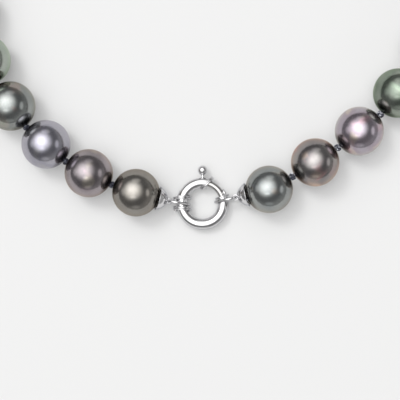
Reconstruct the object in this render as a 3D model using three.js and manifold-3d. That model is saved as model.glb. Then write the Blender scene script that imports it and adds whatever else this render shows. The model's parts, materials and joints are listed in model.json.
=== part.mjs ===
// Graded strand of dark round pearls on knotted silk, closed by a jumbo bolt-ring clasp.
// Millimetres, +Z up. The strand lies on the plane z = 0 in one open loop: the clasp is at the
// -Y end, the largest pearls are at the +Y end. Origin: under the middle of the whole loop.
import * as THREE from 'three';
import { mergeVertices } from 'three/addons/utils/BufferGeometryUtils.js';
import Module from 'manifold-3d';

const wasm = await Module();
wasm.setup();

// ---- driving dimensions ----
const PEARLS_PER_SIDE = 17;
const PEARL_D_AT_CLASP = 10.95;
const PEARL_D_STEP = 0.13;
const PEARL_SIDES = 12;
const BORE_R = 0.66;
const KNOT_GAP_LEFT = 0.75;
const KNOT_GAP_RIGHT = 1.25;
const THREAD_R = 0.24;
const KNOT_R = 0.62;
const CUP_KNOT_R = 0.42;

const RING_R = 4.82; // centreline of the clasp's round tube
const RING_Z = 2.15; // it lies on its collar and on the wires that pass under it
const TUBE_R = 1.24;
const TUBE_BORE_R = 0.98;
const TUBE_FROM = 75; // degrees, anticlockwise from +X, mouth side of the sliding bolt
const TUBE_TO = 382;
const SLOT_FROM = 83;
const SLOT_TO = 150;
const SLOT_WIDTH = 1.1;
const BOLT_R = 0.76;
const BOLT_FROM = 12;
const BOLT_TO = 116;
const KNOB_ANGLE = 90;
const KNOB_R = 1.08;
const KNOB_REACH = 7.73;
const SPRING_FROM = 119;
const SPRING_TO = 226;
const SPRING_TURNS = 9;

const KEEPER_R = 1.9; // centreline of each doubled wire keeper
const KEEPER_WIRE_R = 0.25;
const LINK_HALF_WIDTH = 1.76;
const LINK_WIRE_R = 0.3;
const EYE_R = 0.6;
const EYE_WIRE_R = 0.15;
const CUP_LENGTH = 2.15;
const CUP_BRIM_R = 2.75;
const CUP_TO_PEARL = 5.25; // from a first pearl's centre to the brim plane of its cup

const deg = THREE.MathUtils.degToRad;
const V = (x, y, z) => new THREE.Vector3(x, y, z);
const UP = V(0, 0, 1);

// ---- materials ----
const finish = (color, roughness, metalness) =>
  new THREE.MeshStandardMaterial({ color, roughness, metalness });
const STEEL = finish(0xd4d6da, 0.12, 1);
const SILK = finish(0x2b2e3a, 0.85, 0);
const nacre = (i, side) =>
  finish(new THREE.Color().setHSL(side < 0 ? 0.72 - 0.02 * i : 0.38 + 0.02 * i, 0.07, 0.33), 0.22, 0.35);

// ---- solids ----
function bare(geometry) {
  const g = geometry.clone();
  g.deleteAttribute('normal');
  g.deleteAttribute('uv');
  return mergeVertices(g, 1e-4);
}

function toManifold(geometry) {
  const g = bare(geometry);
  const p = g.getAttribute('position');
  const t = Uint32Array.from(g.index.array).filter((_, k, all) => {
    const f = k - (k % 3);
    return all[f] !== all[f + 1] && all[f + 1] !== all[f + 2] && all[f] !== all[f + 2];
  });
  const a = V(), b = V(), c = V();
  let volume = 0;
  for (let f = 0; f < t.length; f += 3) {
    a.fromBufferAttribute(p, t[f]);
    b.fromBufferAttribute(p, t[f + 1]);
    c.fromBufferAttribute(p, t[f + 2]);
    volume += a.dot(b.cross(c));
  }
  if (volume < 0) for (let f = 0; f < t.length; f += 3) [t[f + 1], t[f + 2]] = [t[f + 2], t[f + 1]];
  const vertProperties = Float32Array.from(p.array);
  return new wasm.Manifold(new wasm.Mesh({ numProp: 3, vertProperties, triVerts: t }));
}

function toGeometry(manifold) {
  const m = manifold.getMesh();
  const g = new THREE.BufferGeometry();
  g.setAttribute('position', new THREE.BufferAttribute(Float32Array.from(m.vertProperties), 3));
  g.setIndex(new THREE.BufferAttribute(Uint32Array.from(m.triVerts), 1));
  return g;
}

// The same solid with its faces pointing out.
const tidy = (geometry) => toGeometry(toManifold(geometry));

function join(...parts) {
  return toGeometry(parts.map(toManifold).reduce((all, one) => all.add(one)));
}

class Arc extends THREE.Curve {
  constructor(radius, from, to, z = 0) {
    super();
    Object.assign(this, { radius, from: deg(from), to: deg(to), z });
  }
  getPoint(t, target = V()) {
    const a = this.from + (this.to - this.from) * t;
    return target.set(this.radius * Math.cos(a), this.radius * Math.sin(a), this.z);
  }
}

function roundSection(radius, sides, bore = 0) {
  const outline = (r) => Array.from({ length: sides }, (_, k) => {
    const a = (2 * Math.PI * (k + 0.5)) / sides;
    return new THREE.Vector2(r * Math.cos(a), r * Math.sin(a));
  });
  const shape = new THREE.Shape(outline(radius));
  if (bore) shape.holes.push(new THREE.Path(outline(bore)));
  return shape;
}

const sweep = (section, path, steps) =>
  new THREE.ExtrudeGeometry(section, { steps, extrudePath: path, bevelEnabled: false });

// A flat piece of a ring between two radii and two angles, z from -half to +half.
function ringSector(inner, outer, from, to, half) {
  const shape = new THREE.Shape();
  shape.absarc(0, 0, outer, deg(from), deg(to), false);
  shape.absarc(0, 0, inner, deg(to), deg(from), true);
  const g = new THREE.ExtrudeGeometry(shape, { depth: 2 * half, bevelEnabled: false, curveSegments: 12 });
  return g.translate(0, 0, -half);
}

const group = new THREE.Group();
function piece(name, geometry, material, parent = group) {
  const mesh = new THREE.Mesh(geometry, material);
  mesh.name = name;
  parent.add(mesh);
  return mesh;
}

// Turns a lathe or torus made about `from` so that it points along `to`.
function aim(object, to, from = V(0, 1, 0)) {
  object.quaternion.setFromUnitVectors(from, to.clone().normalize());
  return object;
}

// ---- the strand's line on the table, from the clasp round to the front ----
const LINE_LEFT = [
  [-9.7, 0.75], [-15.1, 2.5], [-20.8, 4.2], [-26.4, 6.3], [-35.9, 13.4], [-44.3, 21.7], [-50.1, 32.9],
  [-54.1, 46.6], [-56.9, 61.5], [-58.1, 79.2], [-57.6, 98], [-54.4, 117], [-48, 133.8],
  [-38.3, 148.2], [-24.6, 158.7], [-8.5, 163.7], [-0.6, 164.1], [2, 164.1],
];
const LINE_RIGHT = [
  [9.85, 0.4], [15.3, 2.9], [20.5, 6.0], [25.8, 9.5], [36.1, 16.4], [44.9, 24.6], [51.7, 35.6],
  [58, 49.2], [62.8, 64.7], [65.8, 82.4], [65.5, 101.5], [61.6, 120], [53.8, 136],
  [42.5, 150], [26.9, 159.3], [8.5, 163.7], [0.6, 164.1], [-2, 164.1],
];

const pearlD = (i) => PEARL_D_AT_CLASP + PEARL_D_STEP * i;

// Knot centres, spaced by each pearl's diameter and the knot beside it. The strand is straight
// through every bore and bends at the knots.
function knots(line, gap) {
  const curve = new THREE.CatmullRomCurve3(line.map(([x, y]) => V(x, y, 0)), false, 'centripetal');
  const dense = curve.getSpacedPoints(6000);
  const found = [dense[0].clone()];
  let at = 0;
  for (let i = 0; i < PEARLS_PER_SIDE; i++) {
    const reach = pearlD(i) + gap;
    while (at < dense.length - 1 && dense[at].distanceTo(found[i]) < reach) at++;
    found.push(found[i].clone().addScaledVector(dense[at].clone().sub(found[i]).normalize(), reach));
  }
  found.forEach((p, i) => {
    const near = pearlD(Math.max(i - 1, 0)) / 2;
    const far = pearlD(Math.min(i, PEARLS_PER_SIDE - 1)) / 2;
    p.z = (near + far) / 2;
  });
  return found;
}

const sides = {
  left: { sign: -1, knots: knots(LINE_LEFT, KNOT_GAP_LEFT) },
  right: { sign: 1, knots: knots(LINE_RIGHT, KNOT_GAP_RIGHT) },
};

// ---- pearls ----
function pearlGeometry(diameter) {
  const r = diameter / 2;
  const profile = [];
  const first = Math.asin(BORE_R / r);
  for (let k = 0; k <= 6; k++) {
    const a = first + ((Math.PI - 2 * first) * k) / 6;
    profile.push(new THREE.Vector2(r * Math.sin(a), -r * Math.cos(a)));
  }
  profile[0].x = profile[6].x = BORE_R;
  profile.push(profile[0].clone());
  return tidy(new THREE.LatheGeometry(profile, PEARL_SIDES));
}

for (const [side, { sign, knots: at }] of Object.entries(sides)) {
  for (let i = 0; i < PEARLS_PER_SIDE; i++) {
    const name = `pearl_${side}_${String(i + 1).padStart(2, '0')}`;
    const mesh = piece(name, pearlGeometry(pearlD(i)), nacre(i, sign));
    const along = at[i + 1].clone().sub(at[i]).normalize();
    mesh.position.copy(at[i]).add(at[i + 1]).multiplyScalar(0.5);
    mesh.position.z = pearlD(i) / 2;
    // one edge of the twelve-sided pearl is its lowest line
    const across = UP.clone().cross(along).normalize();
    const up = along.clone().cross(across).normalize();
    mesh.quaternion.setFromRotationMatrix(new THREE.Matrix4().makeBasis(across, along, up.negate()));
  }
}

// ---- clasp: tube, slanted collar, mouth flange ----
const clasp = new THREE.Group();
clasp.position.z = RING_Z;
group.add(clasp);

const polar = (radius, angle, z = 0) => V(radius * Math.cos(deg(angle)), radius * Math.sin(deg(angle)), z);

const tubeWhole = toManifold(sweep(roundSection(TUBE_R, 12, TUBE_BORE_R), new Arc(RING_R, TUBE_FROM, TUBE_TO), 38));
const slot = toManifold(ringSector(RING_R + 0.4, RING_R + 2, SLOT_FROM, SLOT_TO, SLOT_WIDTH / 2));
piece('clasp_tube', toGeometry(tubeWhole.subtract(slot)), STEEL, clasp);

// An eccentric band on the tube, tilted across it, with room for the tube inside.
function band(outer, inner, width, round) {
  const half = width / 2;
  const c = Math.min(0.18, half * 0.5);
  const p = [[inner, -half], [outer - c, -half], [outer, -half + c], [outer, half - c], [outer - c, half], [inner, half]];
  const profile = [...p, p[0]].map(([x, y]) => new THREE.Vector2(x, y));
  return tidy(new THREE.LatheGeometry(profile, round));
}

const collar = piece('clasp_collar', band(2.15, 1.9, 0.75, 16), STEEL, clasp);
collar.position.copy(polar(RING_R - 0.15, 77.5));
aim(collar, polar(1, 168.5 - 34));

const flange = piece('clasp_mouth_flange', band(1.72, 1.4, 0.5, 16), STEEL, clasp);
flange.position.copy(polar(RING_R, 19));
aim(flange, polar(1, 109));

// ---- sliding bolt, knob, return spring and its stop ----
piece('bolt', tidy(sweep(roundSection(BOLT_R, 10), new Arc(RING_R, BOLT_FROM, BOLT_TO), 18)), STEEL, clasp);

const knobProfile = [
  [0, 0], [0.38, 0], [0.36, 0.3], [0.34, 0.72], [0.4, 0.9],
  [0.62, 1.07], [0.93, 1.4], [KNOB_R, 1.94], [0.93, 2.48], [0.54, 2.87], [0, 3.02],
].map(([x, y]) => new THREE.Vector2(x, y));
const knob = piece('bolt_knob', tidy(new THREE.LatheGeometry(knobProfile, 14)), STEEL, clasp);
knob.position.copy(polar(KNOB_REACH - 1.94, KNOB_ANGLE));
aim(knob, polar(1, KNOB_ANGLE));

class ArcHelix extends THREE.Curve {
  getPoint(t, target = V()) {
    const a = SPRING_FROM + (SPRING_TO - SPRING_FROM) * t;
    const turn = 2 * Math.PI * SPRING_TURNS * t;
    return target.copy(polar(RING_R + 0.62 * Math.cos(turn), a, 0.62 * Math.sin(turn)));
  }
}
piece('return_spring', tidy(sweep(roundSection(0.13, 4), new ArcHelix(), SPRING_TURNS * 8)), STEEL, clasp);
piece('spring_stop', tidy(sweep(roundSection(0.72, 8), new Arc(RING_R, SPRING_TO + 3, SPRING_TO + 10), 2)), STEEL, clasp);

// ---- doubled wire keepers either side of the left link ----
function keeperGeometry() {
  const r = KEEPER_WIRE_R;
  const wire = (mid) => {
    const ring = Array.from({ length: 6 }, (_, k) => {
      const a = (Math.PI * (k + 0.5)) / 3;
      return new THREE.Vector2(KEEPER_R + r * Math.cos(a), mid + r * Math.sin(a));
    });
    return new THREE.LatheGeometry([...ring, ring[0].clone()], 18);
  };
  return join(wire(-0.82 * r), wire(0.82 * r));
}
for (const [name, y] of [['left_keeper_back', 1.3], ['left_keeper_front', -1.2]]) {
  const keeper = piece(name, keeperGeometry(), STEEL);
  keeper.position.set(-4.7, y, KEEPER_R + KEEPER_WIRE_R);
}

// ---- links and end cups ----
class Stadium extends THREE.Curve {
  constructor(centre, along, upward, halfWidth, straight) {
    super();
    Object.assign(this, { centre, along, upward, halfWidth, straight });
  }
  getPoint(t, target = V()) {
    const w = this.halfWidth, s = this.straight;
    const total = 2 * s + 2 * Math.PI * w;
    let d = (((t % 1) + 1) % 1) * total;
    let x, y;
    if (d < s) [x, y] = [d, -w];
    else if ((d -= s) < Math.PI * w) [x, y] = [s + w * Math.sin(d / w), -w * Math.cos(d / w)];
    else if ((d -= Math.PI * w) < s) [x, y] = [s - d, w];
    else {
      d -= s;
      [x, y] = [-w * Math.sin(d / w), w * Math.cos(d / w)];
    }
    return target.copy(this.centre).addScaledVector(this.along, x).addScaledVector(this.upward, y);
  }
}

// A closed wire loop: rings of section points along the path, skinned all the way round.
function wireLoop(path, wireR, wireSides, steps) {
  const ring = [];
  for (let k = 0; k < steps; k++) {
    const t = k / steps;
    const p = path.getPoint(t);
    const dir = path.getPoint(t + 1e-4).sub(path.getPoint(t - 1e-4)).normalize();
    const side = path.normal.clone();
    const out = dir.clone().cross(side).normalize();
    for (let j = 0; j < wireSides; j++) {
      const a = (2 * Math.PI * (j + 0.5)) / wireSides;
      ring.push(p.clone().addScaledVector(side, wireR * Math.sin(a)).addScaledVector(out, wireR * Math.cos(a)));
    }
  }
  const index = [];
  for (let k = 0; k < steps; k++) {
    const next = (k + 1) % steps;
    for (let j = 0; j < wireSides; j++) {
      const j2 = (j + 1) % wireSides;
      const [a, b, c, d] = [k * wireSides + j, next * wireSides + j, next * wireSides + j2, k * wireSides + j2];
      index.push(a, b, c, a, c, d);
    }
  }
  const g = new THREE.BufferGeometry().setFromPoints(ring);
  g.setIndex(index);
  return tidy(g);
}

function link(name, tubeCentre, eyeCentre) {
  const along = eyeCentre.clone().sub(tubeCentre);
  const length = along.length();
  along.normalize();
  const side = UP.clone().cross(along).normalize();
  const upward = along.clone().cross(side).normalize();
  const path = new Stadium(tubeCentre, along, upward, LINK_HALF_WIDTH, length - LINK_HALF_WIDTH);
  path.normal = side;
  piece(name, wireLoop(path, LINK_WIRE_R, 6, 28), STEEL);
}

function cupGeometry() {
  const outer = [[0.5, 0], [0.85, 0.03], [1.3, 0.42], [2.05, 1.22], [2.62, 1.92], [CUP_BRIM_R, CUP_LENGTH]];
  const inner = [[2.42, CUP_LENGTH], [2.3, 1.88], [1.78, 1.32], [1.05, 0.6], [0.5, 0.36]];
  const p = [...outer, ...inner];
  return tidy(new THREE.LatheGeometry([...p, p[0]].map(([x, y]) => new THREE.Vector2(x, y)), 20));
}

// The eye: a small wire ring with a stem that passes through the cup's apex to a flat head.
function eyeGeometry() {
  const ring = new THREE.TorusGeometry(EYE_R, EYE_WIRE_R, 6, 16);
  const stem = new THREE.CylinderGeometry(0.2, 0.2, 1.0, 8).translate(0, EYE_R + 0.5, 0);
  const head = new THREE.CylinderGeometry(0.42, 0.42, 0.2, 8).translate(0, EYE_R + 0.9, 0);
  return join(ring, stem, head);
}

const cups = {};
function endCup(side, target) {
  const { knots: at, sign } = sides[side];
  const first = at[0].clone().add(at[1]).multiplyScalar(0.5);
  first.z = pearlD(0) / 2;
  const toClasp = target.clone().sub(first).normalize();
  const brim = first.clone().addScaledVector(toClasp, CUP_TO_PEARL);
  const apex = first.clone().addScaledVector(toClasp, CUP_TO_PEARL + CUP_LENGTH);
  const eye = apex.clone().addScaledVector(toClasp, EYE_R + 0.02);
  const outward = toClasp.clone().negate();
  const cup = piece(`${side}_cup`, cupGeometry(), STEEL);
  cup.position.copy(apex);
  aim(cup, outward);
  const ring = piece(`${side}_cup_eye`, eyeGeometry(), STEEL);
  ring.position.copy(eye);
  const flat = UP.clone().cross(outward).normalize();
  ring.quaternion.setFromRotationMatrix(
    new THREE.Matrix4().makeBasis(flat, outward, flat.clone().cross(outward)));
  cups[side] = { first, brim, apex, eye, toClasp };
}
endCup('left', V(-7.45, 0.45, 4.0));
endCup('right', V(7.45, 1.35, 3.95));
link('left_link', V(-RING_R, 0.05, RING_Z), cups.left.eye);
link('right_link', polar(RING_R, 8.5, RING_Z), cups.right.eye);

// ---- silk: through every bore, with a knot at each gap and in each cup ----
// The one thread is made in lengths that meet beside a knot, each carried by one pearl.
const LENGTHS = { left: [3, 6, 9, 12, 15, 17], right: [3, 6, 9, 13, 17] };
const MEET_GAP = 0.3;
const front = sides.left.knots[PEARLS_PER_SIDE].clone()
  .add(sides.right.knots[PEARLS_PER_SIDE]).multiplyScalar(0.5);

function silkLength(name, route, knotsHere) {
  const path = new THREE.CatmullRomCurve3(route, false, 'centripetal');
  path.arcLengthDivisions = 800;
  const steps = Math.round(path.getLength() / 3);
  let silk = toManifold(sweep(roundSection(THREAD_R, 6), path, steps));
  for (const [at, radius] of knotsHere) {
    silk = silk.add(toManifold(new THREE.SphereGeometry(radius, 6, 4).translate(at.x, at.y, at.z)));
  }
  piece(name, toGeometry(silk), SILK);
}

for (const [side, { knots: at }] of Object.entries(sides)) {
  // the last knot sits in the cup, between the bore's line and the cup's
  const { first, toClasp } = cups[side];
  const lean = at[0].clone().sub(first).normalize().multiplyScalar(1.3).add(toClasp).normalize();
  const end = first.clone().addScaledVector(lean, pearlD(0) / 2 + 0.64);
  let route = [end.clone().addScaledVector(lean, 0.2), end];
  let tied = [[end, CUP_KNOT_R]];
  for (let i = 0, n = 0; i < PEARLS_PER_SIDE; i++) {
    const along = at[i + 1].clone().sub(at[i]).normalize();
    const mid = at[i].clone().add(at[i + 1]).multiplyScalar(0.5);
    mid.z = pearlD(i) / 2;
    const half = pearlD(i) / 2 - 0.4;
    for (const reach of [-half, 0, half]) route.push(mid.clone().addScaledVector(along, reach));
    const next = i < PEARLS_PER_SIDE - 1 ? at[i + 1].clone() : front;
    const lastOnRight = side === 'right' && i === PEARLS_PER_SIDE - 1;
    if (lastOnRight) route.push(next.clone().addScaledVector(along, -KNOT_R - MEET_GAP));
    else {
      route.push(next);
      tied.push([next, KNOT_R]);
    }
    if (LENGTHS[side][n] === i + 1) {
      n++;
      silkLength(`silk_${side}_${n}`, route, tied);
      if (i + 1 < PEARLS_PER_SIDE) {
        const onward = at[i + 2].clone().sub(at[i + 1]).normalize();
        route = [next.clone().addScaledVector(onward, KNOT_R + MEET_GAP)];
        tied = [];
      }
    }
  }
}

// ---- origin under the middle of the loop ----
group.updateMatrixWorld(true);
const box = new THREE.Box3().setFromObject(group, true);
const middle = box.getCenter(V());
group.position.set(-middle.x, -middle.y, -box.min.z);
group.updateMatrixWorld(true);

export default group;
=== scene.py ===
# Dark pearl strand with a jumbo bolt-ring clasp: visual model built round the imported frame.
import json
import math
import random

import bmesh
import bpy
from mathutils import Matrix, Vector, noise


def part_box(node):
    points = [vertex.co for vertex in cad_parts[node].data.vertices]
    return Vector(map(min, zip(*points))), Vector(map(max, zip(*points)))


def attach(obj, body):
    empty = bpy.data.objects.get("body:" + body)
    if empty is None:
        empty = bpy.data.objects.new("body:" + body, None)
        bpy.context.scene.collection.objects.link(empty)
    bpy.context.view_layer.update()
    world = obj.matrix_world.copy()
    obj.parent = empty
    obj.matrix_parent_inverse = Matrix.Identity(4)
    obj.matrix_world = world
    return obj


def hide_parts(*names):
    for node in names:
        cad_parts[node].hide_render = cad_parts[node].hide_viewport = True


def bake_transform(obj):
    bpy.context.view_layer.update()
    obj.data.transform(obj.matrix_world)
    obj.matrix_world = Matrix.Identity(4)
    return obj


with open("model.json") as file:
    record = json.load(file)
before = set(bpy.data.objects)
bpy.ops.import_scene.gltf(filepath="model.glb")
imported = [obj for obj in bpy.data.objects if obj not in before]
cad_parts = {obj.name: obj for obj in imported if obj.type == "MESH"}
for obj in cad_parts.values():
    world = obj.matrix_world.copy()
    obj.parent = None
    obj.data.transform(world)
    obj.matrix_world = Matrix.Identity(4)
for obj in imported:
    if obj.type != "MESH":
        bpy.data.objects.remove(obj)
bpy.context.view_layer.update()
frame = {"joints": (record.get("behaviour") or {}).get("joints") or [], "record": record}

MM = 0.001
UP = Vector((0, 0, 1))
SIDES = {"left": -1, "right": 1}
PEARLS_PER_SIDE = 17
JOINTS = {joint["name"]: joint for joint in frame["joints"]}
SLOTS = {row["node"]: row["material_slot"] for row in frame["record"]["subparts"]}


# ---------------------------------------------------------------- places taken from the frame
def centre(node):
    low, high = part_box(node)
    return (Vector(low) + Vector(high)) / 2


def pearl_node(side, number):
    return f"pearl_{side}_{number:02d}"


def pearl_radius(side, number):
    low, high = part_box(pearl_node(side, number))
    return (high[2] - low[2]) / 2


def joint_at(child):
    for joint in frame["joints"]:
        if joint["child"] == child:
            return Vector(joint["pos_m"])


RING_CENTRE = Vector(JOINTS["bolt_slide"]["pos_m"])
LOOP_FRONT = (centre(pearl_node("left", 17)) + centre(pearl_node("right", 17))) / 2

# ---------------------------------------------------------------- camera
VIEW_WIDTH = 91.8 * MM
LENS = 100.0
SENSOR = 36.0
PEARL_PLANE = 5.5 * MM

camera_data = bpy.data.cameras.new("overhead_camera")
camera_data.lens = LENS
camera_data.sensor_width = SENSOR
camera_data.clip_start = 0.01
camera_data.clip_end = 20
camera = bpy.data.objects.new("overhead_camera", camera_data)
bpy.context.scene.collection.objects.link(camera)
camera.location = (
    RING_CENTRE.x - 0.6 * MM,
    RING_CENTRE.y + 0.8 * MM,
    PEARL_PLANE + VIEW_WIDTH * LENS / SENSOR,
)
bpy.context.scene.camera = camera


# ---------------------------------------------------------------- small helpers
def new_piece(name, mesh, body, material):
    piece = bpy.data.objects.new(name, mesh)
    bpy.context.scene.collection.objects.link(piece)
    mesh.materials.append(material)
    if body:
        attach(piece, body)
    return piece


def finish_mesh(bm, name, flip_check=True):
    bmesh.ops.remove_doubles(bm, verts=bm.verts, dist=1e-7)
    if flip_check:
        bmesh.ops.recalc_face_normals(bm, faces=bm.faces)
    for face in bm.faces:
        face.smooth = True
    mesh = bpy.data.meshes.new(name)
    bm.to_mesh(mesh)
    bm.free()
    return mesh


def turned(profile, name, steps=64, closed=True):
    """A profile of (radius, height) points spun once round Z."""
    bm = bmesh.new()
    verts = [bm.verts.new((r, 0, z)) for r, z in profile]
    edges = [bm.edges.new(pair) for pair in zip(verts, verts[1:])]
    if closed:
        edges.append(bm.edges.new((verts[-1], verts[0])))
    bmesh.ops.spin(
        bm, geom=verts + edges, cent=(0, 0, 0), axis=(0, 0, 1), dvec=(0, 0, 0),
        angle=2 * math.pi, steps=steps, use_merge=True, use_duplicate=False,
    )
    return finish_mesh(bm, name)


def pointing(along, at, roll_from=UP):
    """A matrix that carries local Z to `along` and the origin to `at`."""
    z = along.normalized()
    x = roll_from.cross(z)
    if x.length < 1e-6:
        x = Vector((1, 0, 0))
    x.normalize()
    y = z.cross(x)
    return Matrix.Translation(at) @ Matrix((x, y, z)).transposed().to_4x4()


def rounded(points, radius, steps=4):
    """The closed profile with every corner rounded off."""
    out = []
    count = len(points)
    for k in range(count):
        here, before, after = (Vector(points[(k + s) % count]) for s in (0, -1, 1))
        a, b = before - here, after - here
        cut = min(radius, a.length * 0.45, b.length * 0.45)
        p, q = here + a.normalized() * cut, here + b.normalized() * cut
        for s in range(steps + 1):
            t = s / steps
            out.append(tuple((1 - t) ** 2 * p + 2 * t * (1 - t) * here + t * t * q))
    return out


def wire_mesh(name, runs, radius, closed=False, sides=3, radii=None):
    """A round wire drawn along each run of points, as one mesh."""
    data = bpy.data.curves.new(name + "_route", "CURVE")
    data.dimensions = "3D"
    data.bevel_depth = radius
    data.bevel_resolution = sides
    data.use_fill_caps = not closed
    for index, run in enumerate(runs):
        spline = data.splines.new("POLY")
        spline.points.add(len(run) - 1)
        for k, (point, co) in enumerate(zip(spline.points, run)):
            point.co = (*co, 1)
            point.radius = radii[index][k] if radii else 1
        spline.use_cyclic_u = closed
    route = bpy.data.objects.new(name + "_route", data)
    bpy.context.scene.collection.objects.link(route)
    graph = bpy.context.evaluated_depsgraph_get()
    mesh = bpy.data.meshes.new_from_object(route.evaluated_get(graph))
    bpy.data.objects.remove(route)
    bpy.data.curves.remove(data)
    mesh.name = name
    mesh.materials.clear()
    mesh.polygons.foreach_set("use_smooth", [True] * len(mesh.polygons))
    return mesh


# ---------------------------------------------------------------- node groups
def group(name, inputs, outputs):
    tree = bpy.data.node_groups.new(name, "ShaderNodeTree")
    for label, kind, value in inputs:
        socket = tree.interface.new_socket(label, in_out="INPUT", socket_type=kind)
        if value is not None:
            socket.default_value = value
    for label, kind in outputs:
        tree.interface.new_socket(label, in_out="OUTPUT", socket_type=kind)
    return tree, tree.nodes.new("NodeGroupInput"), tree.nodes.new("NodeGroupOutput")


def node(tree, kind, **values):
    made = tree.nodes.new(kind)
    for key, value in values.items():
        setattr(made, key, value)
    return made


def fill(made, **values):
    for key, value in values.items():
        made.inputs[key].default_value = value
    return made


def ramp(tree, stops, source, interpolation="EASE"):
    made = node(tree, "ShaderNodeValToRGB")
    made.color_ramp.interpolation = interpolation
    elements = made.color_ramp.elements
    while len(elements) < len(stops):
        elements.new(0.5)
    for element, (at, tone) in zip(elements, stops):
        element.position = at
        element.color = (*tone, 1) if len(tone) == 3 else tone
    tree.links.new(source, made.inputs["Fac"])
    return made.outputs["Color"]


FLOAT, COLOUR, VECTOR = "NodeSocketFloat", "NodeSocketColor", "NodeSocketVector"


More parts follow.
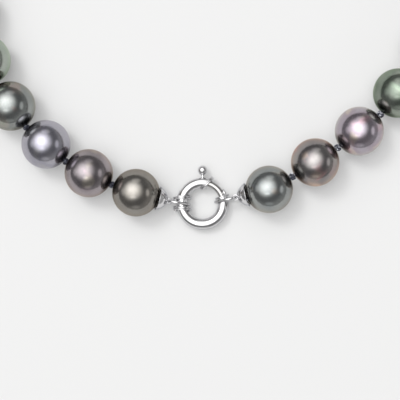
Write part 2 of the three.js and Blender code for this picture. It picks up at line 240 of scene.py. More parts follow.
def nacre_group():
    """Layered nacre: overtones that drift over each pearl, cloudy patches, fine pits, and painted shade
    near the drill holes.
    """
    tree, inside, outside = group(
        "nacre_layers",
        [("Light", COLOUR, None), ("Deep", COLOUR, None), ("Warm", COLOUR, None),
         ("Pale", COLOUR, None), ("Blush", COLOUR, None), ("Blush Amount", FLOAT, 0.3),
         ("Pits", FLOAT, 0.3)],
        [("Colour", COLOUR), ("Roughness", FLOAT), ("Height", FLOAT), ("Metal", FLOAT)],
    )
    link = tree.links.new
    place = node(tree, "ShaderNodeTexCoord").outputs["Object"]
    overtone = node(tree, "ShaderNodeAttribute", attribute_name="overtone").outputs["Fac"]

    cloud = fill(node(tree, "ShaderNodeTexNoise"), Scale=150.0, Detail=3.0, Roughness=0.55)
    link(place, cloud.inputs["Vector"])
    drift = node(tree, "ShaderNodeMath", operation="MULTIPLY_ADD")
    link(cloud.outputs["Fac"], drift.inputs[0])
    drift.inputs[1].default_value = 0.50
    drift.inputs[2].default_value = -0.25
    zone = node(tree, "ShaderNodeMath", operation="ADD", use_clamp=True)
    link(overtone, zone.inputs[0])
    link(drift.outputs[0], zone.inputs[1])

    def mix(factor, a, b, mode="MIX"):
        made = node(tree, "ShaderNodeMix", data_type="RGBA", blend_type=mode)
        for label, value in (("Factor", factor), ("A", a), ("B", b)):
            socket = made.inputs[label]
            if isinstance(value, (int, float)):
                socket.default_value = value
            else:
                link(value, socket)
        return made.outputs["Result"]

    to_deep = node(tree, "ShaderNodeMapRange", interpolation_type="SMOOTHSTEP")
    fill(to_deep, **{"From Min": 0.2, "From Max": 0.62})
    link(zone.outputs[0], to_deep.inputs["Value"])
    to_warm = node(tree, "ShaderNodeMapRange", interpolation_type="SMOOTHSTEP")
    fill(to_warm, **{"From Min": 0.60, "From Max": 0.82})
    link(zone.outputs[0], to_warm.inputs["Value"])
    tone = mix(to_deep.outputs[0], inside.outputs["Light"], inside.outputs["Deep"])
    tone = mix(to_warm.outputs[0], tone, inside.outputs["Warm"])
    to_pale = node(tree, "ShaderNodeMapRange", interpolation_type="SMOOTHSTEP")
    fill(to_pale, **{"From Min": 0.84, "From Max": 0.97})
    link(overtone, to_pale.inputs["Value"])
    tone = mix(to_pale.outputs[0], tone, inside.outputs["Pale"])

    patch = fill(node(tree, "ShaderNodeTexNoise"),
                 Scale=260.0, Detail=2.0, Roughness=0.5, Distortion=0.6)
    link(place, patch.inputs["Vector"])
    blush = node(tree, "ShaderNodeMapRange", interpolation_type="SMOOTHSTEP")
    fill(blush, **{"From Min": 0.5, "From Max": 0.72})
    link(patch.outputs["Fac"], blush.inputs["Value"])
    blush_by = node(tree, "ShaderNodeMath", operation="MULTIPLY")
    where = node(tree, "ShaderNodeMapRange", interpolation_type="SMOOTHSTEP")
    fill(where, **{"From Min": 0.30, "From Max": 0.62})
    link(overtone, where.inputs["Value"])
    placed = node(tree, "ShaderNodeMath", operation="MULTIPLY")
    link(blush.outputs[0], placed.inputs[0])
    link(where.outputs[0], placed.inputs[1])
    link(placed.outputs[0], blush_by.inputs[0])
    link(inside.outputs["Blush Amount"], blush_by.inputs[1])
    tone = mix(blush_by.outputs[0], tone, inside.outputs["Blush"])

    grain = fill(node(tree, "ShaderNodeTexNoise"), Scale=2600.0, Detail=4.0, Roughness=0.6)
    link(place, grain.inputs["Vector"])
    speck = node(tree, "ShaderNodeMapRange")
    fill(speck, **{"From Min": 0.3, "From Max": 0.7, "To Min": 0.93, "To Max": 1.05})
    link(grain.outputs["Fac"], speck.inputs["Value"])
    lit = node(tree, "ShaderNodeVectorMath", operation="SCALE")
    link(tone, lit.inputs[0])
    link(speck.outputs[0], lit.inputs["Scale"])
    # Painted shade: the colour is darkened to 0.40 near each drill hole, a painted stand-in for the
    # dark reflection of the neighbouring pearl.
    toward_bore = node(tree, "ShaderNodeAttribute", attribute_name="toward_bore").outputs["Fac"]
    ends = node(tree, "ShaderNodeMapRange", interpolation_type="SMOOTHSTEP")
    fill(ends, **{"From Min": 0.79, "From Max": 0.92, "To Min": 1.0, "To Max": 0.40})
    link(toward_bore, ends.inputs["Value"])
    bore_painted_shade = node(tree, "ShaderNodeVectorMath", operation="SCALE")
    link(lit.outputs[0], bore_painted_shade.inputs[0])
    link(ends.outputs[0], bore_painted_shade.inputs["Scale"])
    link(bore_painted_shade.outputs[0], outside.inputs["Colour"])

    rough = node(tree, "ShaderNodeMapRange")
    fill(rough, **{"From Min": 0.3, "From Max": 0.7, "To Min": 0.15, "To Max": 0.21})
    link(cloud.outputs["Fac"], rough.inputs["Value"])
    link(rough.outputs[0], outside.inputs["Roughness"])

    cells = fill(node(tree, "ShaderNodeTexVoronoi", feature="F1"), Scale=420.0, Randomness=1.0)
    link(place, cells.inputs["Vector"])
    dimple = node(tree, "ShaderNodeMapRange", interpolation_type="SMOOTHSTEP")
    fill(dimple, **{"From Min": 0.0, "From Max": 0.13, "To Min": -1.0, "To Max": 0.0})
    link(cells.outputs["Distance"], dimple.inputs["Value"])
    pit = node(tree, "ShaderNodeMath", operation="MULTIPLY")
    link(dimple.outputs[0], pit.inputs[0])
    link(inside.outputs["Pits"], pit.inputs[1])
    fine = node(tree, "ShaderNodeMath", operation="MULTIPLY_ADD")
    link(grain.outputs["Fac"], fine.inputs[0])
    fine.inputs[1].default_value = 0.12
    link(pit.outputs[0], fine.inputs[2])
    link(fine.outputs[0], outside.inputs["Height"])

    metal = node(tree, "ShaderNodeMapRange")
    fill(metal, **{"From Min": 0.0, "From Max": 1.0, "To Min": 0.98, "To Max": 0.94})
    link(overtone, metal.inputs["Value"])
    link(metal.outputs[0], outside.inputs["Metal"])
    return tree


def polish_group():
    """Polished metal that has been worn: faint rub marks and soft orange peel."""
    tree, inside, outside = group(
        "polish_wear",
        [("Base", COLOUR, None), ("Gloss", FLOAT, 0.06), ("Wear", FLOAT, 0.5)],
        [("Colour", COLOUR), ("Roughness", FLOAT), ("Height", FLOAT)],
    )
    link = tree.links.new
    place = node(tree, "ShaderNodeTexCoord").outputs["Object"]
    haze = fill(node(tree, "ShaderNodeTexNoise"), Scale=900.0, Detail=4.0, Roughness=0.65)
    link(place, haze.inputs["Vector"])
    marks = fill(node(tree, "ShaderNodeTexNoise"), Scale=2600.0, Detail=2.0, Distortion=1.4)
    link(place, marks.inputs["Vector"])
    amount = node(tree, "ShaderNodeMapRange")
    fill(amount, **{"From Min": 0.45, "From Max": 0.75, "To Min": 0.0, "To Max": 0.16})
    link(haze.outputs["Fac"], amount.inputs["Value"])
    worn = node(tree, "ShaderNodeMath", operation="MULTIPLY")
    link(amount.outputs[0], worn.inputs[0])
    link(inside.outputs["Wear"], worn.inputs[1])
    rough = node(tree, "ShaderNodeMath", operation="ADD")
    link(worn.outputs[0], rough.inputs[0])
    link(inside.outputs["Gloss"], rough.inputs[1])
    link(rough.outputs[0], outside.inputs["Roughness"])
    shade = node(tree, "ShaderNodeMapRange")
    fill(shade, **{"From Min": 0.3, "From Max": 0.7, "To Min": 0.92, "To Max": 1.04})
    link(haze.outputs["Fac"], shade.inputs["Value"])
    tone = node(tree, "ShaderNodeVectorMath", operation="SCALE")
    link(inside.outputs["Base"], tone.inputs[0])
    link(shade.outputs[0], tone.inputs["Scale"])
    link(tone.outputs[0], outside.inputs["Colour"])
    peel = node(tree, "ShaderNodeMath", operation="MULTIPLY_ADD")
    link(marks.outputs["Fac"], peel.inputs[0])
    peel.inputs[1].default_value = 0.35
    link(haze.outputs["Fac"], peel.inputs[2])
    link(peel.outputs[0], outside.inputs["Height"])
    return tree


def thread_group():
    """Twisted silk: fine filaments, pale flecks where they catch the light."""
    tree, inside, outside = group(
        "silk_filaments",
        [("Dark", COLOUR, None), ("Pale", COLOUR, None), ("Flecks", FLOAT, 0.5)],
        [("Colour", COLOUR), ("Height", FLOAT)],
    )
    link = tree.links.new
    place = node(tree, "ShaderNodeTexCoord").outputs["Object"]
    fibre = fill(node(tree, "ShaderNodeTexNoise"),
                 Scale=5200.0, Detail=3.0, Roughness=0.7, Distortion=0.8)
    link(place, fibre.inputs["Vector"])
    fleck = fill(node(tree, "ShaderNodeTexNoise"), Scale=1700.0, Detail=2.0, Roughness=0.6)
    link(place, fleck.inputs["Vector"])
    step = node(tree, "ShaderNodeMapRange", interpolation_type="SMOOTHSTEP")
    fill(step, **{"From Min": 0.52, "From Max": 0.68})
    link(fleck.outputs["Fac"], step.inputs["Value"])
    by = node(tree, "ShaderNodeMath", operation="MULTIPLY")
    link(step.outputs[0], by.inputs[0])
    link(inside.outputs["Flecks"], by.inputs[1])
    tone = node(tree, "ShaderNodeMix", data_type="RGBA")
    link(by.outputs[0], tone.inputs["Factor"])
    link(inside.outputs["Dark"], tone.inputs["A"])
    link(inside.outputs["Pale"], tone.inputs["B"])
    link(tone.outputs["Result"], outside.inputs["Colour"])
    link(fibre.outputs["Fac"], outside.inputs["Height"])
    return tree


NACRE_LAYERS = nacre_group()
POLISH_WEAR = polish_group()
SILK_FILAMENTS = thread_group()


def start_material(name, tree_group, **values):
    material = bpy.data.materials.new(name)
    material.use_nodes = True
    tree = material.node_tree
    shader = tree.nodes["Principled BSDF"]
    pattern = node(tree, "ShaderNodeGroup", node_tree=tree_group)
    for key, value in values.items():
        label = key.replace("_", " ")
        pattern.inputs[label].default_value = (*value, 1) if isinstance(value, tuple) else value
    tree.links.new(pattern.outputs["Colour"], shader.inputs["Base Color"])
    return material, tree, shader, pattern


def relief(tree, pattern, shader, distance, strength):
    bump = fill(node(tree, "ShaderNodeBump"), Distance=distance, Strength=strength)
    tree.links.new(pattern.outputs["Height"], bump.inputs["Height"])
    tree.links.new(bump.outputs["Normal"], shader.inputs["Normal"])


def nacre(name, light, deep, warm, pale, blush, blush_amount=0.3, pits=0.25):
    material, tree, shader, pattern = start_material(
        name, NACRE_LAYERS, Light=light, Deep=deep, Warm=warm, Pale=pale, Blush=blush,
        Blush_Amount=blush_amount, Pits=pits)
    tree.links.new(pattern.outputs["Roughness"], shader.inputs["Roughness"])
    tree.links.new(pattern.outputs["Metal"], shader.inputs["Metallic"])
    fill(shader, **{"Coat Weight": 0.10, "Coat Roughness": 0.12, "Coat IOR": 1.56,
                    "Specular Tint": (*(min(1, c * 2.2) for c in warm), 1)})
    relief(tree, pattern, shader, 0.02 * MM, 0.10)
    return material


def polished(name, base, gloss, wear, height=0.25):
    material, tree, shader, pattern = start_material(
        name, POLISH_WEAR, Base=base, Gloss=gloss, Wear=wear)
    tree.links.new(pattern.outputs["Roughness"], shader.inputs["Roughness"])
    fill(shader, Metallic=1.0, **{"Specular Tint": (0.55, 0.56, 0.60, 1)})
    relief(tree, pattern, shader, 0.02 * MM, height)
    return material


def silk(name, dark, pale, flecks):
    material, tree, shader, pattern = start_material(
        name, SILK_FILAMENTS, Dark=dark, Pale=pale, Flecks=flecks)
    fill(shader, Roughness=0.5, **{"Sheen Weight": 0.5, "Sheen Roughness": 0.35})
    relief(tree, pattern, shader, 0.05 * MM, 0.7)
    return material


NACRE = {
    "nacre_charcoal": nacre("nacre_charcoal", (0.31, 0.295, 0.27), (0.26, 0.245, 0.225),
                            (0.287, 0.265, 0.241), (0.31, 0.287, 0.247),
                            (0.31, 0.29, 0.25), 0.25, 0.15),
    "nacre_aubergine": nacre("nacre_aubergine", (0.35, 0.315, 0.33), (0.25, 0.225, 0.235),
                             (0.368, 0.333, 0.299), (0.333, 0.356, 0.276),
                             (0.36, 0.28, 0.31), 0.6, 3.0),
    "nacre_silver_blue": nacre("nacre_silver_blue", (0.41, 0.4, 0.44), (0.33, 0.325, 0.37),
                               (0.391, 0.385, 0.397), (0.402, 0.414, 0.397),
                               (0.42, 0.4, 0.48), 0.5, 0.2),
    "nacre_green_grey": nacre("nacre_green_grey", (0.34, 0.355, 0.345), (0.25, 0.265, 0.258),
                              (0.322, 0.31, 0.282), (0.31, 0.333, 0.276),
                              (0.34, 0.27, 0.25), 0.6, 0.2),
    "nacre_pale_green": nacre("nacre_pale_green", (0.38, 0.41, 0.37), (0.33, 0.37, 0.325),
                              (0.414, 0.46, 0.391), (0.414, 0.471, 0.402),
                              (0.42, 0.43, 0.38), 0.4, 0.2),
    "nacre_steel": nacre("nacre_steel", (0.33, 0.345, 0.335), (0.275, 0.29, 0.288),
                         (0.356, 0.328, 0.299), (0.391, 0.362, 0.328),
                         (0.3, 0.34, 0.34), 0.35, 0.15),
    "nacre_peacock": nacre("nacre_peacock", (0.32, 0.305, 0.295), (0.235, 0.22, 0.222),
                           (0.46, 0.374, 0.322), (0.39, 0.425, 0.3),
                           (0.42, 0.27, 0.27), 0.8, 0.25),
    "nacre_lavender": nacre("nacre_lavender", (0.42, 0.385, 0.43), (0.38, 0.325, 0.37),
                            (0.54, 0.46, 0.414), (0.47, 0.51, 0.38),
                            (0.56, 0.39, 0.43), 0.85, 0.15),
    "nacre_deep_green": nacre("nacre_deep_green", (0.30, 0.33, 0.285), (0.17, 0.20, 0.165),
                              (0.28, 0.31, 0.262), (0.35, 0.375, 0.33),
                              (0.29, 0.36, 0.28), 0.5, 0.2),
}
WHITE_METAL = polished("polished_white_metal", (0.70, 0.695, 0.70), 0.05, 0.5)
WORN_METAL = polished("worn_bolt_metal", (0.50, 0.49, 0.48), 0.14, 1.3, 0.8)
SPRING_METAL = polished("drawn_spring_wire", (0.55, 0.56, 0.58), 0.25, 1.0)
NAVY_SILK = silk("navy_silk", (0.016, 0.018, 0.036), (0.46, 0.48, 0.58), 0.75)
GREY_SILK = silk("grey_silk", (0.030, 0.034, 0.055), (0.80, 0.81, 0.88), 0.95)

# ---------------------------------------------------------------- pearls
PEARL_STEPS = 80
PEARL_ROWS = 44
BORE_R = 0.42 * MM
MOUTH_R = 0.14 * MM
OVERTONE_MEAN, OVERTONE_SWING = 0.48, 0.55


def pearl_mesh(name, radius, along, at, seed):
    """A pearl spun round its bore, pressed slightly out of round, with a drifting overtone."""
    start = math.asin((BORE_R + MOUTH_R) / radius)
    profile = []
    for k in range(PEARL_ROWS + 1):
        a = start + (math.pi - 2 * start) * k / PEARL_ROWS
        profile.append((radius * math.sin(a), -radius * math.cos(a)))
    reach = radius * math.cos(start)
    lip = [(BORE_R + MOUTH_R * 0.3, 1.0 - 0.003), (BORE_R, 1.0 - 0.028)]
    top = [(r, reach * z) for r, z in lip]
    bottom = [(r, -reach * z) for r, z in reversed(lip)]
    wall = [(BORE_R, reach * z) for z in (0.6, 0.2, -0.2, -0.6)]
    mesh = turned(profile + top + wall + bottom, name, PEARL_STEPS)
    mesh.transform(pointing(along, at))
    offset = Vector((seed * 3.7, seed * 1.3, seed * 2.9))
    overtone = mesh.attributes.new("overtone", "FLOAT", "POINT")
    # toward_bore (1 at the drill holes) drives the painted shade near each bore in the nacre material.
    toward_bore = mesh.attributes.new("toward_bore", "FLOAT", "POINT")
    tones, ends = [], []
    for vert in mesh.vertices:
        out = vert.co - at
        length = out.length
        way = out / length if length else UP
        if length > radius * 0.9:
            swell = noise.noise(way * 1.3 + offset) * 0.007 + noise.noise(way * 4 + offset) * 0.0012
            vert.co = at + way * min(length * (1 + swell), radius * 1.004)
        tone = OVERTONE_MEAN + OVERTONE_SWING * noise.noise(way * 1.6 + offset)
        tones.append(min(1.0, max(0.0, tone)))
        ends.append(abs(way.dot(along)))
    overtone.data.foreach_set("value", tones)
    toward_bore.data.foreach_set("value", ends)
    return mesh


def bore_line(side, number):
    """Where the thread enters and leaves a pearl: the knots on either side of it."""
    first = joint_at(pearl_node(side, number) + "_body")
    if number < PEARLS_PER_SIDE:
        return first, joint_at(pearl_node(side, number + 1) + "_body")
    middle = centre(pearl_node(side, number))
    return first, middle * 2 - first


PEARL_LINES = {}
for side in SIDES:
    for number in range(1, PEARLS_PER_SIDE + 1):
        target = pearl_node(side, number)
        enter, leave = bore_line(side, number)
        at, radius = centre(target), pearl_radius(side, number)
        along = (leave - enter).normalized()
        PEARL_LINES[side, number] = (at, along, radius)
        seed = number + (50 if side == "right" else 0)
        mesh = pearl_mesh(f"nacre_pearl_{side}_{number:02d}", radius, along, at, seed)
        slot = SLOTS[target]
        piece = new_piece(mesh.name, mesh, target + "_body", NACRE[slot])
        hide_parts(target)

# ---------------------------------------------------------------- silk thread and knots
PLY_R = 0.15 * MM
PLY_OFFSET = 0.12 * MM
PLY_PITCH = 1.1 * MM
rng = random.Random(11)


def smooth_route(points, count):
    """Points spaced along a soft curve through the given ones."""
    out = []
    spans = len(points) - 1
    for k in range(count + 1):
        t = k / count * spans
        i = min(int(t), spans - 1)
        u = t - i
        p0, p1 = points[max(i - 1, 0)], points[i]
        p2, p3 = points[i + 1], points[min(i + 2, spans)]
        out.append(0.5 * (2 * p1 + (p2 - p0) * u + (2 * p0 - 5 * p1 + 4 * p2 - p3) * u * u
                          + (3 * p1 - p0 - 3 * p2 + p3) * u ** 3))
    return out


def twisted(route, phase=0.0):
    """Two plies wound round the route."""
    runs = ([], [])
    walked = 0.0
    for k, at in enumerate(route):
        ahead = route[min(k + 1, len(route) - 1)] - route[max(k - 1, 0)]
        if k:
            walked += (at - route[k - 1]).length
        basis = pointing(ahead, Vector((0, 0, 0)))
        for ply, run in enumerate(runs):
            a = phase + walked / PLY_PITCH * 2 * math.pi + ply * math.pi
            run.append(at + basis @ Vector((math.cos(a), math.sin(a), 0)) * PLY_OFFSET)
    return runs


def knot_runs(at, along, size, squeeze, turn):
    """A double overhand knot pulled tight: a small trefoil with a second wrap."""
    basis = pointing(along, at)
    runs = []
    for wrap in range(2):
        run = []
        for k in range(73):
            t = 2 * math.pi * k / 72
            grow = size * (1 - 0.24 * wrap)
            x = (math.sin(t) + 1.25 * math.sin(2 * t)) * 0.36 * grow
            y = (math.cos(t) - 1.25 * math.cos(2 * t)) * 0.36 * grow
            z = -math.sin(3 * t) * 0.40 * squeeze
            spun = Matrix.Rotation(turn + wrap * 1.1, 4, "Z") @ Vector((x, y, z))
            run.append(basis @ spun)
        runs.append(run)
    return runs


SILK_ENDS = {"left": (3, 6, 9, 12, 15, 17), "right": (3, 6, 9, 13, 17)}


def silk_node(side, number):
    """The length of silk that passes through a pearl and ends in the knot after it."""
    return f"silk_{side}_{1 + sum(number > last for last in SILK_ENDS[side])}"


def silk_segment(name, target, points, knot, material, bodies, blend_span=None):
    """One stretch of thread with its knot, from the middle of one pearl to the next."""
    route = smooth_route(points, 60)
    runs = [list(r) for r in twisted(route, rng.uniform(0, 6))]
    radii = [[1.0] * len(r) for r in runs]
    if knot:
        at, along, size, squeeze = knot
        for run in knot_runs(at, along, size, squeeze, rng.uniform(0, 6)):
            runs.append(run)
            radii.append([1.25 + 0.1 * math.sin(k * 1.7) for k in range(len(run))])
    mesh = wire_mesh(name, runs, PLY_R, sides=2, radii=radii)
    piece = new_piece(name, mesh, None if blend_span else bodies[0], material)
    if blend_span:
        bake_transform(piece)
    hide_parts(target)
    return piece


KNOT_SIZE = {"left": (0.92 * MM, 0.62 * MM), "right": (0.96 * MM, 0.95 * MM)}
for side in SIDES:
    material = NAVY_SILK if side == "left" else GREY_SILK
    cup_low, cup_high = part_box(f"{side}_cup")
    for number in range(1, PEARLS_PER_SIDE + 1):
        at, along, radius = PEARL_LINES[side, number]
        joint = joint_at(pearl_node(side, number) + "_body")
        here = at - along * (radius * 0.1)
        mouth = at - along * (radius - 0.3 * MM)
        if number == 1:
            eye = centre(f"{side}_cup_eye")
            toward = (eye - at).normalized()
            last = at + ((-along) * 1.3 + toward).normalized() * (radius + 0.64 * MM)
            points = [last + toward * 0.2 * MM, last, mouth, here]
            silk_segment(
                f"silk_{side}_cup_end", silk_node(side, 1), points,
                (last, -toward, 0.5 * MM, 0.6 * MM), material,
                (f"{side}_cup_body", pearl_node(side, 1) + "_body"), (last, mouth))
            continue
        past, past_along, past_radius = PEARL_LINES[side, number - 1]
        leave = past + past_along * (past_radius - 0.3 * MM)
        points = [past + past_along * past_radius * 0.1, leave, joint, mouth, here]
        silk_segment(
            f"silk_{side}_{number:02d}", silk_node(side, number - 1), points,
            (joint, along + past_along, *KNOT_SIZE[side]), material,
            (pearl_node(side, number - 1) + "_body", pearl_node(side, number) + "_body"),
            (leave, mouth))

for side in SIDES:
    at, along, radius = PEARL_LINES[side, PEARLS_PER_SIDE]
    points = [at + along * radius * 0.1, at + along * (radius - 0.3 * MM), LOOP_FRONT]
    knot = (LOOP_FRONT, along, *KNOT_SIZE["left"]) if side == "left" else None
    silk_segment(f"silk_{side}_front", silk_node(side, PEARLS_PER_SIDE), points, knot, NAVY_SILK,
                 (pearl_node(side, PEARLS_PER_SIDE) + "_body",))

# ---------------------------------------------------------------- clasp tube and its fittings
RING_R = 4.82 * MM
TUBE_R = 1.25 * MM
TUBE_WALL = 0.24 * MM
TUBE_FROM, TUBE_TO = 75.0, 382.0
SLOT_FROM, SLOT_TO = 83.0, 150.0


def polar(radius, angle, z=0.0):
    a = math.radians(angle)
    return RING_CENTRE + Vector((radius * math.cos(a), radius * math.sin(a), z))


def tangent(angle):
    a = math.radians(angle)
    return Vector((-math.sin(a), math.cos(a), 0))


def swept_ring(name, section_r, start, end, steps, sides=32, caps=False, cut=None):
    """A round section spun round the clasp's centre, from one angle to another."""
    bm = bmesh.new()
    made = bmesh.ops.create_circle(bm, cap_ends=caps, segments=sides, radius=section_r)
    tilt = Matrix.Rotation(math.radians(start), 4, "Z") @ Matrix.Translation((RING_R, 0, 0)) \
        @ Matrix.Rotation(math.pi / 2, 4, "X")
    bmesh.ops.transform(bm, matrix=Matrix.Translation(RING_CENTRE) @ tilt, verts=made["verts"])
    bmesh.ops.spin(
        bm, geom=bm.verts[:] + bm.edges[:] + bm.faces[:], cent=RING_CENTRE, axis=(0, 0, 1),
        dvec=(0, 0, 0), angle=math.radians(end - start), steps=steps, use_duplicate=False,
    )
    if cut:
        doomed = []
        for face in bm.faces:
            mid = face.calc_center_median() - RING_CENTRE
            angle = math.degrees(math.atan2(mid.y, mid.x)) % 360
            flat = Vector((mid.x, mid.y, 0)).length
            if cut[0] < angle < cut[1] and flat > RING_R and abs(mid.z) < cut[2]:
                doomed.append(face)
        bmesh.ops.delete(bm, geom=doomed, context="FACES")
    return bm


def add_wall(piece, thickness):
    wall = piece.modifiers.new("wall", "SOLIDIFY")
    wall.thickness = thickness
    wall.offset = -1
    wall.use_rim = True


def soften(piece, width, segments=2, angle=35):
    edge = piece.modifiers.new("edge", "BEVEL")
    edge.width = width
    edge.segments = segments
    edge.limit_method = "ANGLE"
    edge.angle_limit = math.radians(angle)


tube = finish_mesh(
    swept_ring("tube", TUBE_R, TUBE_FROM, TUBE_TO, 150, 36, cut=(SLOT_FROM, SLOT_TO, 0.5 * MM)),
    "clasp_tube_shell")
tube_piece = new_piece("clasp_tube_shell", tube, "clasp_body", WHITE_METAL)
add_wall(tube_piece, TUBE_WALL)
soften(tube_piece, 0.05 * MM)
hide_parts("clasp_tube")


def wire_band(name, at, axis, radius, wire, gap, turns=1, stretch=1.0):
    """Side-by-side wire rounds soldered into one band."""
    profile = []
    reach = gap * (turns - 1) / 2
    for index in range(turns):
        mid = -reach + gap * index
        for k in range(13):
            a = -math.pi / 2 + math.pi * k / 12
            profile.append((radius + wire * math.cos(a), mid + wire * math.sin(a) * 0.98))
    profile += [(radius - wire * 0.55, reach + wire * 0.6), (radius - wire * 0.55, -reach - wire * 0.6)]
    mesh = turned(profile, name, 48)
    mesh.transform(pointing(axis, at) @ Matrix.Diagonal((stretch, 1, 1, 1)))
    return mesh


COLLAR_AT, COLLAR_SLANT = 78, -34
collar = wire_band("slanted_collar", polar(RING_R, COLLAR_AT),
                   Matrix.Rotation(math.radians(COLLAR_SLANT), 3, "Z") @ tangent(COLLAR_AT),
                   1.42 * MM, 0.23 * MM, 0.38 * MM, turns=2, stretch=1.2)
collar_piece = new_piece("slanted_collar", collar, "clasp_body", WHITE_METAL)
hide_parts("clasp_collar")

MOUTH_AT = 19
flange = wire_band("mouth_flange", polar(RING_R, MOUTH_AT), tangent(MOUTH_AT), 1.5 * MM, 0.22 * MM,
                   0.22 * MM, turns=1)
flange_piece = new_piece("mouth_flange", flange, "clasp_body", WHITE_METAL)
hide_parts("clasp_mouth_flange")

# A small pointed lip stands out beside the mouth.
leaf_bm = bmesh.new()
bmesh.ops.create_uvsphere(leaf_bm, u_segments=24, v_segments=16, radius=1.0)
for vert in leaf_bm.verts:
    taper = 1 - 0.45 * max(0.0, vert.co.z)
    vert.co = Vector((vert.co.x * 0.36 * taper, vert.co.y * 0.46 * taper, vert.co.z * 0.86)) * MM
leaf = finish_mesh(leaf_bm, "mouth_lip")
leaf.transform(pointing(Matrix.Rotation(math.radians(-12), 3, "Z") @ tangent(29),
                        polar(RING_R + 0.80 * MM, 27, 0.45 * MM), roll_from=UP))
leaf_piece = new_piece("mouth_lip", leaf, "clasp_body", WHITE_METAL)
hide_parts("clasp_mouth_flange")

# ---------------------------------------------------------------- bolt, knob, spring
BOLT_R = 0.76 * MM
BOLT_FROM, BOLT_TO = 12, 116
bolt_bm = swept_ring("bolt", BOLT_R, BOLT_FROM, BOLT_TO, 60, 28, caps=True)
bolt = finish_mesh(bolt_bm, "sliding_bolt")
bolt_piece = new_piece("sliding_bolt", bolt, "bolt_body", WORN_METAL)
soften(bolt_piece, 0.12 * MM, 3)
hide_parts("bolt")

KNOB_R = 1.08
BALL_UP = 1.94
KNOB_AT = 7.73
knob_profile = [(0.0, 0.0), (0.40, 0.0), (0.38, 0.35), (0.35, 0.62), (0.36, 0.78), (0.42, 0.90),
                (0.52, 0.97), (0.55, 1.02)]
for k in range(22):
    a = math.radians(-60 + 150 * k / 21)
    knob_profile.append((KNOB_R * math.cos(a), BALL_UP + KNOB_R * math.sin(a)))
knob_profile[-1] = (0.0, BALL_UP + KNOB_R)
knob = turned([(r * MM, z * MM) for r, z in knob_profile], "bolt_knob_ball", 48, closed=False)
knob.transform(pointing(Vector((0, 1, 0)), polar((KNOB_AT - BALL_UP) * MM, 90), roll_from=UP))
knob_piece = new_piece("bolt_knob_ball", knob, "bolt_body", WHITE_METAL)
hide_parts("bolt_knob")

SPRING_TURNS, SPRING_STEPS = 9, 20
SPRING_FROM, SPRING_TO = 119, 226
SPRING_R = 0.62 * MM
spring_run = []
for k in range(SPRING_TURNS * SPRING_STEPS + 1):
    t = k / (SPRING_TURNS * SPRING_STEPS)
    a = 2 * math.pi * SPRING_TURNS * t
    at_angle = SPRING_FROM + (SPRING_TO - SPRING_FROM) * t
    spring_run.append(polar(RING_R + SPRING_R * math.cos(a), at_angle, SPRING_R * math.sin(a)))
spring = wire_mesh("return_spring_coil", [spring_run], 0.11 * MM, sides=2)
spring_piece = new_piece("return_spring_coil", spring, None, SPRING_METAL)
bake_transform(spring_piece)
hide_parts("return_spring")

stop = finish_mesh(swept_ring("stop", 0.72 * MM, 229, 236, 6, 24, caps=True), "spring_stop_plug")
stop_piece = new_piece("spring_stop_plug", stop, "clasp_body", SPRING_METAL)
soften(stop_piece, 0.1 * MM)
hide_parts("spring_stop")

# ---------------------------------------------------------------- keepers, links
KEEPER_R = 1.9 * MM
KEEPER_WIRE = 0.245 * MM
KEEPER_STEPS = 44
for label, phase in (("back", 2.6), ("front", 3.5)):
    at = centre(f"left_keeper_{label}")
    run = []
    for k in range(2 * KEEPER_STEPS - 2):
        a = phase + 2 * math.pi * k / KEEPER_STEPS
        slip = (k / (2 * KEEPER_STEPS) - 0.5) * 0.86 * MM
        run.append(at + Vector((math.cos(a) * KEEPER_R, slip, math.sin(a) * KEEPER_R)))
    mesh = wire_mesh(f"keeper_{label}_wire", [run], KEEPER_WIRE)
    piece = new_piece(mesh.name, mesh, "clasp_body", WHITE_METAL)
    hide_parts(f"left_keeper_{label}")

LINK_HALF_WIDTH = 1.76 * MM
LINK_WIRE = 0.37 * MM
for side in SIDES:
    pivot = Vector(JOINTS[f"{side}_link_swing"]["pos_m"])
    eye = Vector(JOINTS[f"{side}_cup_turn"]["pos_m"])
    along = (eye - pivot).normalized()
    across = UP.cross(along).normalized()
    upward = along.cross(across)
    straight = (eye - pivot).length - LINK_HALF_WIDTH
    run = []
    for bend, middle in ((math.pi / 2, pivot), (-math.pi / 2, pivot + along * straight)):
        for k in range(40):
            a = bend + math.pi * k / 39
            run.append(middle + (along * math.cos(a) + upward * math.sin(a)) * LINK_HALF_WIDTH)
    mesh = wire_mesh(f"{side}_link_wire", [run], LINK_WIRE, closed=True, sides=4)
    piece = new_piece(mesh.name, mesh, f"{side}_link_body", WHITE_METAL)
    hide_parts(f"{side}_link")

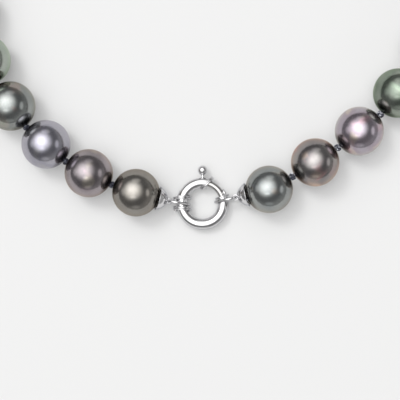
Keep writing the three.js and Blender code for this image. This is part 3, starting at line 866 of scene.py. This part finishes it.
# ---------------------------------------------------------------- end cups and their eyes
CUP_OUTER = [(0.5, 0.0), (0.86, 0.03), (1.24, 0.20), (1.62, 0.50), (1.96, 0.86), (2.24, 1.22),
             (2.46, 1.58), (2.62, 1.92), (2.76, 2.02), (2.78, 2.16)]
CUP_INNER = [(2.56, 2.16), (2.42, 1.86), (2.22, 1.50), (1.94, 1.14), (1.60, 0.80), (1.2, 0.52),
             (0.5, 0.34)]
CUP_STAND_OFF = 0.62 * MM
for side in SIDES:
    eye = Vector(JOINTS[f"{side}_cup_turn"]["pos_m"])
    first = centre(pearl_node(side, 1))
    outward = (first - eye).normalized()
    apex = eye + outward * CUP_STAND_OFF
    profile = rounded([(r * MM, z * MM) for r, z in CUP_OUTER + CUP_INNER], 0.09 * MM, 2)
    mesh = turned(profile, f"{side}_bell_cup", 72)
    mesh.transform(pointing(outward, apex))
    piece = new_piece(mesh.name, mesh, f"{side}_cup_body", WHITE_METAL)
    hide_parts(f"{side}_cup")

    flat = UP.cross(outward).normalized()
    ring_run = [eye + (outward * math.cos(a) + flat * math.sin(a)) * 0.6 * MM
                for a in (2 * math.pi * k / 40 for k in range(40))]
    ring = wire_mesh(f"{side}_eye_ring", [ring_run], 0.17 * MM, closed=True)
    piece = new_piece(ring.name, ring, f"{side}_cup_body", WHITE_METAL)
    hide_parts(f"{side}_cup_eye")
    stem_profile = [(0, 0), (0.2, 0), (0.2, 0.78), (0.4, 0.82), (0.42, 0.98), (0.0, 1.0)]
    stem = turned([(r * MM, z * MM) for r, z in stem_profile], f"{side}_eye_stem", 24, closed=False)
    stem.transform(pointing(outward, apex))
    piece = new_piece(stem.name, stem, f"{side}_cup_body", WHITE_METAL)
    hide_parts(f"{side}_cup_eye")

# ---------------------------------------------------------------- floor, light, sky
floor_bm = bmesh.new()
bmesh.ops.create_grid(floor_bm, x_segments=2, y_segments=2, size=3.0)
floor_mesh = finish_mesh(floor_bm, "pale_table", flip_check=False)
floor = bpy.data.objects.new("pale_table", floor_mesh)
bpy.context.scene.collection.objects.link(floor)
floor_material = bpy.data.materials.new("pale_table")
floor_material.use_nodes = True
fill(floor_material.node_tree.nodes["Principled BSDF"],
     **{"Base Color": (0.445, 0.445, 0.443, 1), "Roughness": 0.85, "Specular IOR Level": 0.1,
        "Emission Color": (1, 1, 1, 1), "Emission Strength": 0.20})
floor_mesh.materials.append(floor_material)


def softbox(name, at, look, width, depth, power):
    """A lamp that lights the table and the silk; reflections see the sky alone."""
    data = bpy.data.lights.new(name, "AREA")
    data.shape = "RECTANGLE"
    data.size, data.size_y = width, depth
    data.energy = power
    lamp = bpy.data.objects.new(name, data)
    bpy.context.scene.collection.objects.link(lamp)
    lamp.location = at
    way = Vector(look) - Vector(at)
    lamp.rotation_euler = way.to_track_quat("-Z", "Y").to_euler()
    lamp.visible_camera = False
    lamp.visible_glossy = False
    return lamp


AIM = (RING_CENTRE.x, RING_CENTRE.y + 0.02, 0)
LAMPS = [  # name, place from the aim, width, depth, power
    ("overhead_softbox", (-0.04, 0.06, 0.9), 0.36, 0.30, 0.6),
    ("upper_left_softbox", (-0.42, 0.40, 0.95), 0.30, 0.30, 4.4),
    ("right_strip", (1.0, 0.1, 0.45), 0.3, 0.8, 0.5),
    ("lower_strip", (0.1, -0.9, 0.5), 0.7, 0.3, 0.3),
]
for lamp_name, (east, north, high), lamp_width, lamp_depth, power in LAMPS:
    softbox(lamp_name, (AIM[0] + east, AIM[1] + north, high), AIM, lamp_width, lamp_depth, power)

# A wide soft glow overhead that falls off into a dark room, seen by reflections as a gradient.
world = bpy.data.worlds.new("studio")
bpy.context.scene.world = world
world.use_nodes = True
sky = world.node_tree
backdrop = sky.nodes["Background"]
direction = node(sky, "ShaderNodeTexCoord").outputs["Generated"]
toward_glow = node(sky, "ShaderNodeVectorMath", operation="DOT_PRODUCT")
sky.links.new(direction, toward_glow.inputs[0])
toward_glow.inputs[1].default_value = Vector((-0.27, 0.19, 1)).normalized()
GLOW = [(0.0, (0.16, 0.16, 0.16)), (0.13, (0.12, 0.12, 0.121)), (0.30, (0.08, 0.08, 0.082)),
        (0.55, (0.085, 0.085, 0.087)), (0.64, (0.16, 0.16, 0.16)), (0.74, (0.38, 0.38, 0.38)),
        (0.86, (0.80, 0.80, 0.80)), (0.94, (1.15, 1.15, 1.15)), (1.0, (1.45, 1.45, 1.45))]
glow = ramp(sky, GLOW, toward_glow.outputs["Value"], "LINEAR")

# Narrow cards stand round the glow, with dark gaps between. Each is placed by the slope of a
# surface that throws light from overhead back to it.
raised = node(sky, "ShaderNodeVectorMath", operation="ADD")
sky.links.new(direction, raised.inputs[0])
raised.inputs[1].default_value = (0, 0, 1)
slope = node(sky, "ShaderNodeVectorMath", operation="NORMALIZE")
sky.links.new(raised.outputs[0], slope.inputs[0])
flat = node(sky, "ShaderNodeVectorMath", operation="MULTIPLY")
sky.links.new(slope.outputs[0], flat.inputs[0])
flat.inputs[1].default_value = (1, 1, 0)
CARDS = [  # slope across and along, half width and depth, brightness
    ((0.02, 0.50), (0.18, 0.085), 0.24),
    ((-0.53, 0.03), (0.08, 0.16), 0.18),
    ((0.50, 0.0), (0.075, 0.17), 0.34),
    ((0.0, -0.60), (0.18, 0.07), 0.12),
    ((-0.10, -0.20), (0.13, 0.055), 0.40),
]
SKY_STRENGTH = 2.35
light = glow
for place, half, amount in CARDS:
    away = node(sky, "ShaderNodeVectorMath", operation="SUBTRACT")
    sky.links.new(flat.outputs[0], away.inputs[0])
    away.inputs[1].default_value = (*place, 0)
    sized = node(sky, "ShaderNodeVectorMath", operation="MULTIPLY")
    sky.links.new(away.outputs[0], sized.inputs[0])
    sized.inputs[1].default_value = (1 / half[0], 1 / half[1], 0)
    far = node(sky, "ShaderNodeVectorMath", operation="LENGTH")
    sky.links.new(sized.outputs[0], far.inputs[0])
    card = node(sky, "ShaderNodeMapRange", interpolation_type="SMOOTHSTEP")
    fill(card, **{"From Min": 0.6, "From Max": 1.25, "To Min": amount, "To Max": 0.0})
    sky.links.new(far.outputs["Value"], card.inputs["Value"])
    summed = node(sky, "ShaderNodeVectorMath", operation="ADD")
    sky.links.new(light, summed.inputs[0])
    sky.links.new(card.outputs[0], summed.inputs[1])
    light = summed.outputs[0]
sky.links.new(light, backdrop.inputs["Color"])
backdrop.inputs["Strength"].default_value = SKY_STRENGTH

bpy.context.scene.view_settings.view_transform = "Standard"
bpy.context.scene.view_settings.look = "None"
bpy.context.scene.view_settings.exposure = 0.0
